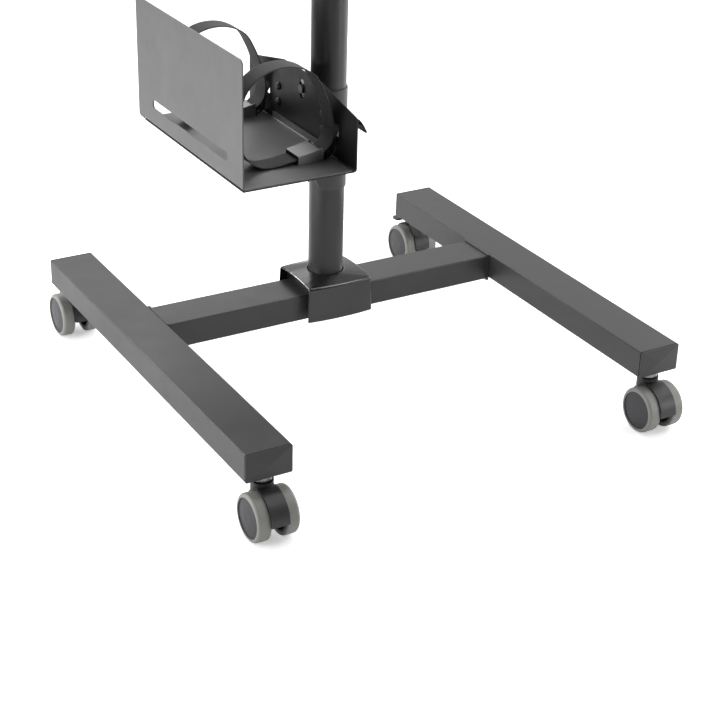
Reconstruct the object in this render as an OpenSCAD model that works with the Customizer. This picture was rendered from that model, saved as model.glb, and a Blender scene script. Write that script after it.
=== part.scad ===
// Mobile monitor stand on four twin-wheel casters, with a strap-down cradle on the pole
// Floor at z = 0, pole axis at x = 0 and y = 0, front of the stand towards -Y

/* [Base frame] */
// Width of each side beam
beam_w = 75.5; // [60:0.5:90]
// Height of each side beam
beam_h = 45.5; // [38:0.5:60]
// Wall of the side beams
beam_wall = 2; // [1.5:0.1:3]
// Outer corner radius of the beams
beam_corner = 2.5; // [2.5:0.5:6]
// Reach of the side beams in front of the pole axis
beam_front = 470; // [400:1:600]
// Reach of the side beams behind the pole axis
beam_rear = 281; // [240:1:400]
// Distance between the centre lines of the side beams
beam_spacing = 700; // [600:5:900]
// Width of the cross beam
cross_w = 75; // [66:1:80]
// Height of the cross beam
cross_h = 45; // [38:0.5:50]
// Wall of the cross beam
cross_wall = 2; // [1.5:0.1:3]
// Depth of the cross beam's top below the side beams' tops
cross_drop = 3; // [2:0.5:8]
// Thickness of the flange plate on each end of the cross beam
flange_t = 4; // [3:0.5:6]
// How far the flange plate stands proud of the cross beam
flange_lip = 2.5; // [1:0.5:4]
// Thread diameter of the bolts that join the beams
joint_bolt_d = 8; // [6:1:10]
// Distance between the two joint bolts at each end
joint_bolt_gap = 40; // [34:1:44]
// Thickness of the end cap's visible rim
cap_rim = 3; // [2:0.5:5]
// Height of the end cap's faceted face
cap_peak = 3; // [1:0.5:6]
// Depth of the end cap's plug inside the beam
cap_plug = 8; // [6:0.5:9]

/* [Pole] */
// Outer diameter of the pole
pole_d = 59; // [48:1:62]
// Wall of the pole
pole_wall = 2.5; // [2:0.1:4]
// Height of the pole's upper end above the floor
pole_top = 1480; // [1420:10:1800]
// Length of the threaded plug in the foot of the pole
foot_plug = 22; // [16:1:40]
// Thread diameter of the foot bolt
foot_bolt_d = 12; // [10:1:16]
// Thickness of the top cap's rim
pole_cap_t = 5; // [3:0.5:8]

/* [Shroud] */
// Width of the shroud at its top, across the stand
shroud_w = 120; // [100:1:140]
// Depth of the shroud at its top corners, front to back
shroud_d = 109; // [98:1:130]
// How far each side of the shroud leans out towards its foot
shroud_draft = 2; // [0:0.5:6]
// Height of the shroud's corners above the cross beam
shroud_rise = 18; // [10:0.5:20]
// Rise of the crowned top from the corners to the pole
shroud_crown = 6.5; // [5:0.5:14]
// Bulge of the front and back faces in the middle
shroud_bow = 3.5; // [0:0.5:9]
// Rise of the arch over each open end
shroud_arch = 4; // [0:0.5:5]
// Wall of the shroud
shroud_wall = 3; // [2:0.5:4]
// Edge radius of the shroud
shroud_round = 4.5; // [3.5:0.5:6]
// Clearance between the shroud and the pole
shroud_ring = 2; // [1:0.5:5]

/* [Casters] */
// Wheel diameter
wheel_d = 75; // [60:1:80]
// Height of a caster from the floor to the beam
caster_h = 98; // [98:0.5:120]
// Width over both wheels
caster_w = 68; // [62:1:80]
// Width of one wheel
wheel_w = 21.5; // [17:0.5:22]
// Width of the fender, which laps over the inner shoulders of the wheels
fender_w = 30; // [26:1:34]
// Gap between the tread and the fender
fender_gap = 0.8; // [0.6:0.1:1.5]
// Diameter of the dark hub disc inside the tyre
hub_d = 62.5; // [50:0.5:64]
// Shoulder radius of the tyre
tyre_round = 5; // [2:0.5:6]
// Distance from the swivel axis to the axle
trail = 20; // [18:1:26]
// Distance from the beam's end to the swivel axis
stem_inset = 20; // [20:1:60]
// Diameter of the threaded stem
stem_d = 10; // [8:1:12]
// Diameter of the swivel neck
neck_d = 34.5; // [30:0.5:38]
// Wall of the cup round the swivel bearing
cup_wall = 2; // [1.5:0.5:3]
// Height of the steel bearing ring under the beam
race_h = 11; // [6:0.5:12]
// Axle diameter
axle_d = 8; // [6:0.5:10]
// Gap between a wheel and the hood
wheel_gap = 1; // [0.6:0.1:2]
// Width of the brake pedal
pedal_w = 60; // [44:1:64]
// Reach of the brake pedal behind its pivot
pedal_reach = 26; // [22:1:32]

/* [Cradle] */
// Height of the cradle's underside above the floor
cradle_z = 410; // [330:5:700]
// Length of the cradle's floor, front to back
cradle_len = 366; // [340:2:420]
// Clear width inside the cradle
cradle_w = 193; // [180:1:240]
// Thickness of the cradle's sheet steel
sheet = 2; // [1.5:0.1:3]
// How far the side panel runs past the floor at the back
panel_tail = 20; // [0:1:40]
// Height of the side panel
panel_h = 205; // [190:5:260]
// Height of the wall at the front of the cradle
wall_front_h = 88; // [80:1:100]
// Height of the wall beside the pole
wall_mid_h = 112; // [106:1:150]
// Inner radius of the bends in the cradle's sheet steel
bend_r = 3; // [2:0.5:5]
// Length of the slot in the side panel
slot_len = 277; // [200:1:290]
// Height of the slot in the side panel
slot_h = 14.5; // [10:0.5:30]
// Height of the slot's centre line above the cradle's floor
slot_rise = 35; // [30:1:80]
// Height of the tray's upturned lip
lip_h = 11; // [8:1:20]
// Length of the tray's upturned lip
lip_len = 158; // [80:1:160]
// Travel of the tray to widen the cradle
tray_travel = 60; // [40:1:80]

/* [Pole clamp] */
// Thickness of the clamp bracket
bracket_t = 2.2; // [1.5:0.1:3]
// Distance from the pole axis to the cradle's wall
wall_gap = 49; // [46:1:60]
// Depth of the bracket's band below the cradle
band_drop = 92; // [60:1:110]
// Height of the bracket's band above the cradle's underside
band_rise = 78; // [74:1:90]
// Angle of the band's open side, between its two edges
band_open = 81; // [60:1:100]
// Half spread of the four carriage bolts, front to back
bolt_spread = 76; // [60:1:77]
// Diameter of the carriage bolts
carriage_d = 8; // [6:1:8]

/* [Straps] */
// Width of the webbing
strap_w = 38; // [30:1:40]
// Thickness of the webbing
strap_t = 1.6; // [1.2:0.1:2]
// Distance of the front strap from the pole axis
strap_front = 106; // [106:1:120]
// Distance of the rear strap from the pole axis
strap_rear = 129; // [106:1:140]
// Length of the cam buckle
buckle_len = 44; // [40:1:50]
// Thickness of the buckle's steel
buckle_t = 1.5; // [1.2:0.1:2]

/* [Monitor head] */
// Distance from the pole's top down to the tilt axis
head_drop = 160; // [100:10:380]
// Height of the sleeve that clamps on the pole
sleeve_h = 90; // [70:1:120]
// Wall of the sleeve
sleeve_wall = 8; // [6:0.5:12]
// Distance from the pole axis to the tilt axis
tilt_reach = 58; // [54:1:80]
// Diameter of the tilt bolt
tilt_d = 10; // [8:1:14]
// Side of the square monitor plate
plate_w = 230; // [216:1:260]
// Thickness of the monitor plate
plate_t = 3; // [2:0.5:5]
// Smaller hole spacing of the monitor plate
hole_gap_small = 100; // [75:25:100]
// Larger hole spacing of the monitor plate
hole_gap_large = 200; // [200:1:200]
// Diameter of the smaller screw holes
hole_small_d = 5; // [4.5:0.1:6]
// Diameter of the larger screw holes
hole_large_d = 6.6; // [6:0.1:9]

/* [Hidden] */
$fn = 64;

// Clearance of a turning fit, on the radius
run = 0.05;
// Gap between parts that slide past or lie on each other
slip = 0.3;
// Extra depth of a cutting tool past the face it cuts
over = 1;
least_corner = 0.5;

beam_z = caster_h;
head_z = pole_top - head_drop;
beam_x = beam_spacing / 2;
beam_top = beam_z + beam_h;
inner_face = beam_x - beam_w / 2;
cross_top = beam_top - cross_drop;
cross_z = cross_top - cross_h;
cross_half = inner_face - flange_t;
wheel_r = wheel_d / 2;
hood_w = caster_w - 2 * wheel_w - 2 * wheel_gap;
stem_front_y = -beam_front + stem_inset;
stem_rear_y = beam_rear - stem_inset;
pole_r = pole_d / 2;
pole_foot_z = cross_z + cross_wall;
tray_z = cradle_z + sheet + slip;
tray_top = tray_z + sheet;
wall_x = -wall_gap;
panel_x = wall_x - sheet - cradle_w - sheet;
lip_x = wall_x - sheet - 2 * sheet;
band_low = cradle_z - band_drop;
band_high = cradle_z + band_rise;

// Rectangle with round corners, centred
module round_rect(w, h, r) {
  union() {
    square([w - 2 * r, h], center = true);
    square([w, h - 2 * r], center = true);
    for (x = [-1, 1], y = [-1, 1]) translate([x * (w / 2 - r), y * (h / 2 - r)]) circle(r);
  }
}

// Wall of a rectangular tube
module tube_section(w, h, r, wall) {
  difference() {
    round_rect(w, h, r);
    round_rect(w - 2 * wall, h - 2 * wall, max(r - wall, least_corner));
  }
}

// Runs a section drawn in X and Z from y0 to y1
module along_y(y0, y1) {
  translate([0, y1, 0]) rotate([90, 0, 0]) linear_extrude(y1 - y0) children();
}

// Runs a section drawn in Y and Z from x0 to x1
module along_x(x0, x1) {
  translate([x0, 0, 0]) rotate([90, 0, 90]) linear_extrude(x1 - x0) children();
}

// Round bar along X
module bar_x(x0, x1, r) {
  translate([x0, 0, 0]) rotate([0, 90, 0]) cylinder(h = x1 - x0, r = r);
}

// Round bar along Y
module bar_y(y0, y1, r) {
  translate([0, y1, 0]) rotate([90, 0, 0]) cylinder(h = y1 - y0, r = r);
}

// Hexagon bar along X, as a bolt head or a nut
module hex_x(x0, x1, across) {
  translate([x0, 0, 0]) rotate([0, 90, 0]) cylinder(h = x1 - x0, r = across / sqrt(3), $fn = 6);
}

// Side beams

bush_h = 20;
bush_r = stem_d / 2 + 5;
stem_hole_r = stem_d / 2 + 0.1;
head_af = joint_bolt_d * 1.6;
head_h = joint_bolt_d * 0.65;
joint_hole_r = joint_bolt_d / 2 + 0.2;
joint_z = beam_z + beam_h / 2;

module side_beam(side) {
  difference() {
    union() {
      translate([side * beam_x, 0, joint_z])
        along_y(-beam_front, beam_rear)
          tube_section(beam_w, beam_h, beam_corner, beam_wall);
      for (y = [stem_front_y, stem_rear_y])
        translate([side * beam_x, y, beam_z]) cylinder(h = bush_h, r = bush_r);
    }
    for (y = [stem_front_y, stem_rear_y])
      translate([side * beam_x, y, beam_z - over]) cylinder(h = bush_h + 2 * over, r = stem_hole_r);
    for (y = [-1, 1])
      translate([side * inner_face - beam_wall - over, y * joint_bolt_gap / 2, joint_z])
        bar_x(0, 2 * (beam_wall + over), joint_hole_r);
  }
}

module left_beam() color("#3b3b3d") side_beam(-1);
module right_beam() color("#3b3b3d") side_beam(1);

// Plug with a visible rim and a low four-sided point
module end_cap(side, rear) {
  plug_w = beam_w - 2 * beam_wall - 2 * slip;
  plug_h = beam_h - 2 * beam_wall - 2 * slip;
  plug_corner = max(beam_corner - beam_wall, least_corner);
  plug_wall = 2;
  face_w = beam_w / 2 - 1;
  face_h = beam_h / 2 - 1;
  end_y = rear ? beam_rear : beam_front;
  translate([side * beam_x, 0, joint_z]) mirror([0, rear ? 0 : 1, 0]) {
    along_y(end_y, end_y + cap_rim) round_rect(beam_w, beam_h, beam_corner);
    along_y(end_y - cap_plug, end_y) tube_section(plug_w, plug_h, plug_corner, plug_wall);
    translate([0, end_y + cap_rim, 0]) polyhedron(
      points = [[-face_w, -1, -face_h], [face_w, -1, -face_h], [face_w, -1, face_h],
                [-face_w, -1, face_h], [0, cap_peak, 0]],
      faces = [[3, 2, 1, 0], [1, 4, 0], [2, 4, 1], [3, 4, 2], [0, 4, 3]]);
  }
}

module front_left_cap() color("#2c2c2e") end_cap(-1, false);
module front_right_cap() color("#2c2c2e") end_cap(1, false);
module rear_left_cap() color("#2c2c2e") end_cap(-1, true);
module rear_right_cap() color("#2c2c2e") end_cap(1, true);

// Cross beam with a flange plate and two weld nuts at each end

nut_t = joint_bolt_d * 0.8;

module cross_beam() color("#3b3b3d") {
  difference() {
    union() {
      translate([0, 0, cross_z + cross_h / 2])
        along_x(-cross_half, cross_half)
          tube_section(cross_w, cross_h, beam_corner, cross_wall);
      for (side = [-1, 1])
        translate([side * (cross_half + flange_t / 2), 0, cross_z + cross_h / 2])
          along_x(-flange_t / 2, flange_t / 2)
            round_rect(cross_w + 2 * flange_lip, cross_h + 2 * flange_lip, beam_corner);
      for (side = [-1, 1], y = [-1, 1])
        translate([side * (cross_half - nut_t / 2), y * joint_bolt_gap / 2, joint_z])
          hex_x(-nut_t / 2, nut_t / 2, head_af);
    }
    for (side = [-1, 1], y = [-1, 1])
      translate([side * cross_half - nut_t - over, y * joint_bolt_gap / 2, joint_z])
        bar_x(0, 2 * (nut_t + over), joint_hole_r);
    translate([0, 0, cross_top - cross_wall - over])
      cylinder(h = cross_wall + 2 * over, r = pole_r + run);
    translate([0, 0, cross_z - over]) cylinder(h = cross_wall + 2 * over, r = foot_bolt_d / 2 + 0.5);
  }
}

module beam_bolts() color("#8d8f92")
  for (side = [-1, 1], y = [-1, 1])
    translate([side * inner_face, y * joint_bolt_gap / 2, joint_z]) mirror([side > 0 ? 0 : 1, 0, 0]) {
      difference() {
        hex_x(beam_wall, beam_wall + head_h, head_af);
        bar_x(beam_wall + head_h * 0.5, beam_wall + head_h + over, joint_bolt_d * 0.3);
      }
      bar_x(-flange_t - nut_t - 2, beam_wall + head_h * 0.25, joint_bolt_d / 2);
    }

// Moulded saddle over the cross beam, open at both ends, with a crowned top and bowed faces

crown_steps = 6;
shroud_corner = cross_top + shroud_rise;
shroud_top = shroud_corner + shroud_crown;
shroud_foot = cross_z + 1.5;

// Convex form of the saddle, shrunk by an inset and stretched past its ends
module shroud_form(inset, stretch) {
  r = max(shroud_round - inset, 0.5);
  back = inset + r;
  half_d = shroud_d / 2 - back;
  edge_z = shroud_corner - back;
  end_x = shroud_w / 2 - back + stretch;
  hull() {
    for (side = [-1, 1]) {
      for (i = [0 : crown_steps]) {
        u = 2 * i / crown_steps - 1;
        translate([side * end_x, u * half_d, edge_z + shroud_arch * (1 - u * u)]) sphere(r, $fn = 24);
      }
      for (face = [-1, 1], i = [0 : 3]) {
        bulge = 1 - pow(i / 3, 2);
        x = i < 3 ? i * shroud_w / 6 : end_x;
        y = half_d + shroud_bow * bulge;
        translate([side * x, face * y, edge_z]) sphere(r, $fn = 24);
        translate([side * (x + (i < 3 ? 0 : shroud_draft)), face * (y + shroud_draft), shroud_foot - inset])
          cylinder(h = 1, r = r, $fn = 24);
      }
    }
    translate([0, 0, shroud_top - inset - 1]) cylinder(h = 1, r = pole_r + shroud_ring + 2, $fn = 32);
  }
}

module pole_shroud() color("#29292b") {
  rib_t = 2.5;
  difference() {
    union() {
      difference() {
        shroud_form(0, 0);
        shroud_form(shroud_wall, 2 * shroud_wall + shroud_round);
      }
      intersection() {
        shroud_form(shroud_wall / 2, 0);
        for (x = [-1, 1]) translate([x * shroud_w * 0.36 - rib_t / 2, -shroud_d, cross_z + 6])
          cube([rib_t, 2 * shroud_d, shroud_top - cross_z]);
      }
    }
    translate([-shroud_w, -cross_w / 2 - slip, cross_z - over])
      cube([2 * shroud_w, cross_w + 2 * slip, cross_h + over + slip]);
    translate([0, 0, cross_top]) cylinder(h = shroud_top, r = pole_r + shroud_ring);
  }
}

// Pole with its threaded foot plug

module pole() color("#38383a") {
  difference() {
    translate([0, 0, pole_foot_z]) cylinder(h = pole_top - pole_foot_z, r = pole_r);
    translate([0, 0, pole_foot_z + foot_plug])
      cylinder(h = pole_top, r = pole_r - pole_wall);
    translate([0, 0, pole_foot_z - over])
      cylinder(h = foot_plug + 2 * over, r = foot_bolt_d / 2 + 0.1);
  }
}

module pole_foot_bolt() color("#8d8f92") {
  washer_t = 2.5;
  foot_head = foot_bolt_d * 0.4;
  translate([0, 0, cross_z - washer_t]) cylinder(h = washer_t, r = foot_bolt_d * 1.2);
  translate([0, 0, cross_z - washer_t - foot_head])
    cylinder(h = foot_head, r = foot_bolt_d * 1.5 / sqrt(3), $fn = 6);
  translate([0, 0, cross_z - washer_t]) cylinder(h = foot_plug, r = foot_bolt_d / 2);
}

module pole_top_cap() color("#29292b") {
  bore_r = pole_r - pole_wall - slip;
  difference() {
    translate([0, 0, pole_top - 18]) cylinder(h = 18, r = bore_r);
    translate([0, 0, pole_top - 18 - over]) cylinder(h = 18, r = bore_r - 2);
  }
  translate([0, 0, pole_top]) rotate_extrude() {
    square([pole_r - pole_cap_t, pole_cap_t]);
    intersection() {
      translate([pole_r - pole_cap_t, 0]) circle(pole_cap_t);
      translate([pole_r - pole_cap_t, 0]) square(pole_cap_t);
    }
  }
}

// Casters, drawn with the swivel axis at the origin and the wheels trailing towards -Y

race_r = neck_d / 2 - cup_wall - 0.4;
cup_floor = caster_h - race_h - 2.5;
fender_t = 2.2;
fender_r = wheel_r + fender_gap + fender_t;
cup_low = wheel_r + fender_r - 4;
cup_high = caster_h - 4;
spindle_r = stem_d / 2 + 0.5;
cup_notch = 6;
spindle_low = wheel_r + 14;
face_out = caster_w / 2;
face_in = face_out - wheel_w;
boss_r = axle_d / 2 + 4;
bore_end = face_out - 5;

// Puts a caster drawn at the origin under its beam end
module at_caster(side, rear) {
  translate([side * beam_x, rear ? stem_rear_y : stem_front_y, 0]) rotate([0, 0, rear ? 180 : 0])
    children();
}

module caster_stem(side, rear) color("#9a9c9f") at_caster(side, rear) {
  translate([0, 0, caster_h - race_h]) cylinder(h = race_h, r = race_r);
  translate([0, 0, caster_h]) cylinder(h = bush_h, r = stem_d / 2);
  translate([0, 0, spindle_low]) cylinder(h = caster_h - spindle_low, r = spindle_r);
}

// Side view of the hood's shell: an arch from axle height behind to the neck in front
module fender_outline() {
  difference() {
    circle(fender_r, $fn = 128);
    circle(fender_r - fender_t, $fn = 128);
    translate([-2 * fender_r, -2 * fender_r]) square([4 * fender_r, 2 * fender_r - 1]);
  }
}

// Side view of the core between the wheels, which carries the axle
module core_outline() {
  difference() {
    circle(fender_r - 1, $fn = 128);
    rotate(-30) translate([-2 * fender_r, -2 * fender_r]) square([4 * fender_r, 2 * fender_r - boss_r - 2]);
    translate([-2 * fender_r, -2 * fender_r]) square([4 * fender_r, 2 * fender_r - 3]);
  }
  circle(boss_r + 3);
}

module caster_hood(side, rear, braked) color("#2b2b2d") at_caster(side, rear) {
  difference() {
    union() {
      translate([0, -trail, wheel_r]) along_x(-hood_w / 2, hood_w / 2) core_outline();
      translate([0, -trail, wheel_r]) along_x(-fender_w / 2, fender_w / 2) fender_outline();
      translate([0, 0, cup_low - 12]) cylinder(h = cup_high - cup_low + 12, r = neck_d / 2);
      if (braked) for (x = [-1, 1])
        translate([x * (hood_w / 2 - 2), pivot_y, pivot_z]) {
          bar_x(-2, 2, 3.6);
          translate([-2, -3.6, cup_low - 4 - pivot_z]) cube([4, 7.2, pivot_z - cup_low + 4]);
        }
    }
    for (x = [-1, 1]) translate([x * (hood_w / 2 + wheel_w / 2), -trail, wheel_r])
      bar_x(-wheel_w / 2, wheel_w / 2, fender_r - fender_t);
    translate([0, 0, spindle_low - slip])
      cylinder(h = caster_h, r = spindle_r + run);
    translate([0, 0, cup_floor]) cylinder(h = caster_h, r = neck_d / 2 - cup_wall);
    translate([-neck_d, -neck_d / 2 - over, cup_floor]) cube([2 * neck_d, neck_d / 2 + over - cup_notch, caster_h]);
    translate([0, -trail, wheel_r]) bar_x(-hood_w, hood_w, axle_d / 2);
    if (braked) translate([-hood_w / 2 + 4, pivot_y - 24, pedal_floor])
      cube([hood_w - 8, 24 + 5.5, caster_h]);
  }
  if (braked) translate([0, pivot_y, pivot_z]) bar_x(-hood_w / 2 + 1, hood_w / 2 - 1, 2);
}

module caster_axle(side, rear) color("#9a9c9f") at_caster(side, rear)
  translate([0, -trail, wheel_r]) bar_x(-bore_end + slip, bore_end - slip, axle_d / 2);

// Sign that turns outer or inner into the caster's own left or right
function wheel_sign(side, rear, outer) = side * (rear ? -1 : 1) * (outer ? 1 : -1);

// Turns a section of radius and distance from the mid plane about the axle
module wheel_turn(side, rear, outer)
  at_caster(side, rear) translate([0, -trail, wheel_r])
    mirror([wheel_sign(side, rear, outer) > 0 ? 0 : 1, 0, 0])
      rotate([0, 90, 0]) rotate_extrude($fn = 96) children();

// Disc with a low dome outside and an open back, turned on its boss
module caster_hub(side, rear, outer) color("#2d2d2f") wheel_turn(side, rear, outer) {
  rim = hub_d / 2 - 3;
  web = face_out - 6;
  dome_r = 260;
  dome_face = face_out - 0.8;
  difference() {
    intersection() {
      translate([0, face_in]) square([hub_d / 2 - run, wheel_w]);
      translate([0, dome_face + 1 - dome_r]) circle(dome_r, $fn = 360);
    }
    translate([0, face_in - over]) square([axle_d / 2 + run, bore_end - face_in + over]);
    translate([boss_r, face_in - over]) square([rim - boss_r, web - face_in + over]);
  }
}

module caster_tyre(side, rear, outer) color("#8f918c") wheel_turn(side, rear, outer) {
  depth = wheel_r - hub_d / 2;
  out_r = min(tyre_round, depth - 1);
  in_r = 0.6 * out_r;
  intersection() {
    translate([hub_d / 2, face_in]) square([depth, wheel_w]);
    union() {
      translate([0, face_in]) square([wheel_r - out_r, wheel_w]);
      translate([0, face_in + in_r]) square([wheel_r, wheel_w - in_r - out_r]);
      translate([wheel_r - out_r, face_out - out_r]) circle(out_r, $fn = 48);
      translate([wheel_r - in_r, face_in + in_r]) circle(in_r, $fn = 48);
      translate([wheel_r - out_r, face_in]) square([out_r - in_r, wheel_w / 2]);
    }
  }
}

// Brake pedal over the trailing side of the right rear caster

pivot_y = -neck_d / 2 - 5.5;
pedal_floor = wheel_r + fender_r + slip;
pivot_z = pedal_floor + 4.2;

module brake_pedal(side) color("#2b2b2d") at_caster(side, true)
  translate([0, pivot_y, pivot_z]) {
    boss_half = hood_w / 2 - 4 - slip;
    difference() {
      union() {
        bar_x(-boss_half, boss_half, 3.6);
        translate([-boss_half, -10, -0.4]) cube([2 * boss_half, 10, 4]);
        translate([0, -pedal_reach / 2 - 4, -0.4]) linear_extrude(4)
          round_rect(pedal_w, pedal_reach - 8, 5);
        translate([-pedal_w / 2 + 5, -pedal_reach, -3.6]) cube([pedal_w - 10, 3, 5]);
      }
      bar_x(-hood_w, hood_w, 2 + run);
    }
  }

// Cradle wall: floor sheet and the wall beside the pole, bent from one plate

wall_crest = 120;
strap_slot_mid = 44;
strap_slot_h = 20;
screw_slot_y = 100;
screw_x = panel_x + 70;
wall_corner = 7;
wall_hole_y = -4;
wall_hole_w = 16;
bend_out = bend_r + sheet;

// Quarter bend of the sheet about a centre, into the corner given by its signs
module bend(x, z, sx, sz) translate([x, z]) intersection() {
  difference() {
    circle(bend_out);
    circle(bend_r);
  }
  translate([sx > 0 ? 0 : -bend_out, sz > 0 ? 0 : -bend_out]) square(bend_out);
}

// Side view of the wall: low at the ends, rising to the pole, with round corners
module wall_outline() {
  half = cradle_len / 2;
  end_top = cradle_z + wall_front_h;
  mid_top = cradle_z + wall_mid_h;
  polygon([
    [-half, cradle_z + bend_out], [-half, end_top - wall_corner],
    [-half + wall_corner, end_top], [-wall_crest / 2, mid_top], [wall_crest / 2, mid_top],
    [half - wall_corner, end_top], [half, end_top - wall_corner], [half, cradle_z + bend_out]
  ]);
  for (y = [-1, 1]) translate([y * (half - wall_corner), end_top - wall_corner]) circle(wall_corner);
}

module cradle_wall() color("#2f2f31") difference() {
  union() {
    along_x(wall_x - sheet, wall_x) wall_outline();
    along_y(-cradle_len / 2, cradle_len / 2) {
      bend(wall_x - bend_out, cradle_z + bend_out, 1, -1);
      translate([panel_x + 1, cradle_z]) square([wall_x - bend_out - panel_x - 1, sheet]);
    }
  }
  for (y = [-strap_front, strap_rear]) translate([wall_x, y, tray_top + strap_slot_mid])
    along_x(-sheet - over, over) round_rect(strap_w + 4, strap_slot_h, 3);
  for (y = [-1, 1], z = bolt_levels) translate([wall_x, y * bolt_spread, z])
    bar_x(-sheet - over, over, carriage_d / 2 + 0.2);
  translate([wall_x, wall_hole_y, saddle_screw_z])
    along_x(-sheet - over, over) round_rect(wall_hole_w, 32, wall_hole_w / 2 - 0.01);
  for (y = [-1, 1]) translate([screw_x - tray_travel / 2, y * screw_slot_y, cradle_z - over])
    linear_extrude(sheet + 2 * over) round_rect(tray_travel + 9, 7, 3.4);
}

// Cradle tray: upper floor sheet, side panel with its long slot, and a lip beside the wall

lip_y = 12;
slot_y = 6.5;
tray_edge = lip_x + sheet - bend_out;

module cradle_tray() color("#4a4a4c") {
  corner = 8;
  half = cradle_len / 2;
  panel_high = cradle_z + panel_h;
  far_y = half + panel_tail;
  difference() {
    along_x(panel_x, panel_x + sheet) union() {
      translate([-half, tray_z + bend_out]) square([cradle_len, panel_h / 2]);
      translate([(far_y - half) / 2, (tray_z + bend_out + panel_high) / 2])
        round_rect(far_y + half, panel_high - tray_z - bend_out, corner);
      intersection() {
        translate([half, tray_z]) square([panel_tail, panel_h / 2]);
        translate([far_y - 50, tray_z + 50]) round_rect(100, 100, corner);
      }
    }
    translate([panel_x, slot_y, tray_top + slot_rise])
      along_x(-over, sheet + over) round_rect(slot_len, slot_h, slot_h / 2 - 0.01);
  }
  along_y(-half, half) {
    bend(panel_x + bend_out, tray_z + bend_out, -1, -1);
    translate([panel_x + bend_out, tray_z]) square([screw_x - 12 - panel_x - bend_out, sheet]);
  }
  difference() {
    translate([screw_x - 12, -half, tray_z]) cube([tray_edge - screw_x + 12, cradle_len, sheet]);
    for (y = [-1, 1]) translate([screw_x, y * screw_slot_y, tray_z - over])
      cylinder(h = sheet + 2 * over, r = 2.9);
  }
  along_y(lip_y - lip_len / 2, lip_y + lip_len / 2) {
    bend(tray_edge, tray_z + bend_out, 1, -1);
    translate([lip_x, tray_z + bend_out]) square([sheet, lip_h + sheet - bend_out]);
  }
}

module tray_screws() color("#8d8f92")
  for (y = [-1, 1]) translate([screw_x, y * screw_slot_y, 0]) {
    translate([0, 0, cradle_z - slip - 3]) cylinder(h = 3, r = 6.5);
    translate([0, 0, cradle_z - slip - 0.5]) cylinder(h = tray_top - cradle_z + slip + 0.5, r = 2.9);
  }

// Pole clamp: a band round the pole, with cheeks that reach back to wings bolted to the wall

bolt_levels = [cradle_z + 36, cradle_z + 62];
saddle_screw_z = cradle_z + 81;
band_in = pole_r + 0.1;
band_out = band_in + bracket_t;
band_edge_y = band_in * sin(band_open / 2) - 0.5;
band_edge_x = -band_in * cos(band_open / 2);
wing_x = wall_x + bracket_t;
wing_low = cradle_z + 18;
wing_end = bolt_spread + 8.5;

module clamp_bracket() color("#2f2f31") {
  cheek_low = cradle_z - 42;
  difference() {
    union() {
      translate([0, 0, band_low]) linear_extrude(band_high - band_low) difference() {
        circle(band_out, $fn = 96);
        circle(band_in, $fn = 96);
        translate([-2 * band_out, -band_edge_y]) square([2 * band_out, 2 * band_edge_y]);
      }
      for (y = [-1, 1]) {
        translate([0, y * (band_edge_y + bracket_t / 2), 0])
          along_y(-bracket_t / 2, bracket_t / 2) polygon([
            [band_edge_x - 0.5, band_low], [band_edge_x - 0.5, band_high], [wall_x, band_high],
            [wall_x, cheek_low]]);
        translate([wall_x, y > 0 ? band_edge_y : -wing_end, wing_low])
          cube([bracket_t, wing_end - band_edge_y, band_high - wing_low]);
      }
    }
    for (y = [-1, 1], z = bolt_levels) translate([wall_x, y * bolt_spread, z])
      bar_x(-over, bracket_t + over, carriage_d / 2 + 0.2);
  }
}

// Pad between the cheeks, pressed on the pole by the screw through the wall
module clamp_saddle() color("#29292b") difference() {
  half = band_edge_y - slip;
  translate([wall_x, -half, wing_low])
    cube([wall_gap - pole_r + 6, 2 * half, saddle_screw_z + 10 - wing_low]);
  translate([0, 0, wing_low - over]) cylinder(h = band_high, r = band_in, $fn = 96);
  translate([0, wall_hole_y, saddle_screw_z]) bar_x(wall_x - over, 0, 4.2);
}

module clamp_bolts() color("#77797c") {
  nut_h = 6.5;
  for (y = [-1, 1], z = bolt_levels) translate([wall_x, y * bolt_spread, z]) {
    translate([-sheet, 0, 0]) rotate([0, -90, 0]) rotate_extrude() intersection() {
      translate([0, -6.4]) circle(10.8);
      square([6.5, 6]);
    }
    bar_x(-sheet - 1, bracket_t + nut_h + 2, carriage_d / 2);
    hex_x(bracket_t, bracket_t + nut_h, 13);
  }
  translate([0, wall_hole_y, saddle_screw_z]) {
    hex_x(wall_x - 5, wall_x, 13);
    bar_x(wall_x - 1, -pole_r - slip, 4);
  }
}

// Straps: one run of webbing each, round the load, through the buckle and out of the wall

// Route of the webbing, in X from the wall's inner face and in Z from the tray's floor
strap_route = [
  [-15.5, 15.8], [-19.5, 12.2], [-22.5, 8.6], [-25.2, 6], [-28.5, 5.3], [-31.4, 8.2],
  [-28.5, 11.1], [-23.5, 13.4], [-16.5, 19], [-9.5, 28], [-6, 44], [-8.5, 66], [-15, 86], [-25, 112],
  [-44, 142], [-79, 158], [-119, 156], [-152, 136], [-170, 101], [-173, 61],
  [-164, 32], [-152, 15.8], [-137, 6], [-121, 2.4], [-99, 3.2], [-80, 6], [-70, 6.2],
  [-55, 3], [-40, 2.8], [-26, 2.8], [-15.5, 4.2], [-9.5, 11], [-6.5, 22], [-4.5, 35],
  [2, 46.7], [13, 56.2], [26, 59.7], [37, 56.7], [45, 47.2], [52, 34.7]
];
strap_steps = 3;

// Point of a smooth curve through four neighbours
function smooth(a, b, c, d, t) =
  0.5 * (2 * b + (c - a) * t + (2 * a - 5 * b + 4 * c - d) * t * t + (3 * b - a - 3 * c + d) * t * t * t);

function route_point(p, i) = p[max(0, min(len(p) - 1, i))];

function smooth_path(p, n) = concat(
  [for (i = [0 : len(p) - 2], k = [0 : n - 1])
    smooth(route_point(p, i - 1), p[i], p[i + 1], route_point(p, i + 2), k / n)],
  [p[len(p) - 1]]);

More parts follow.
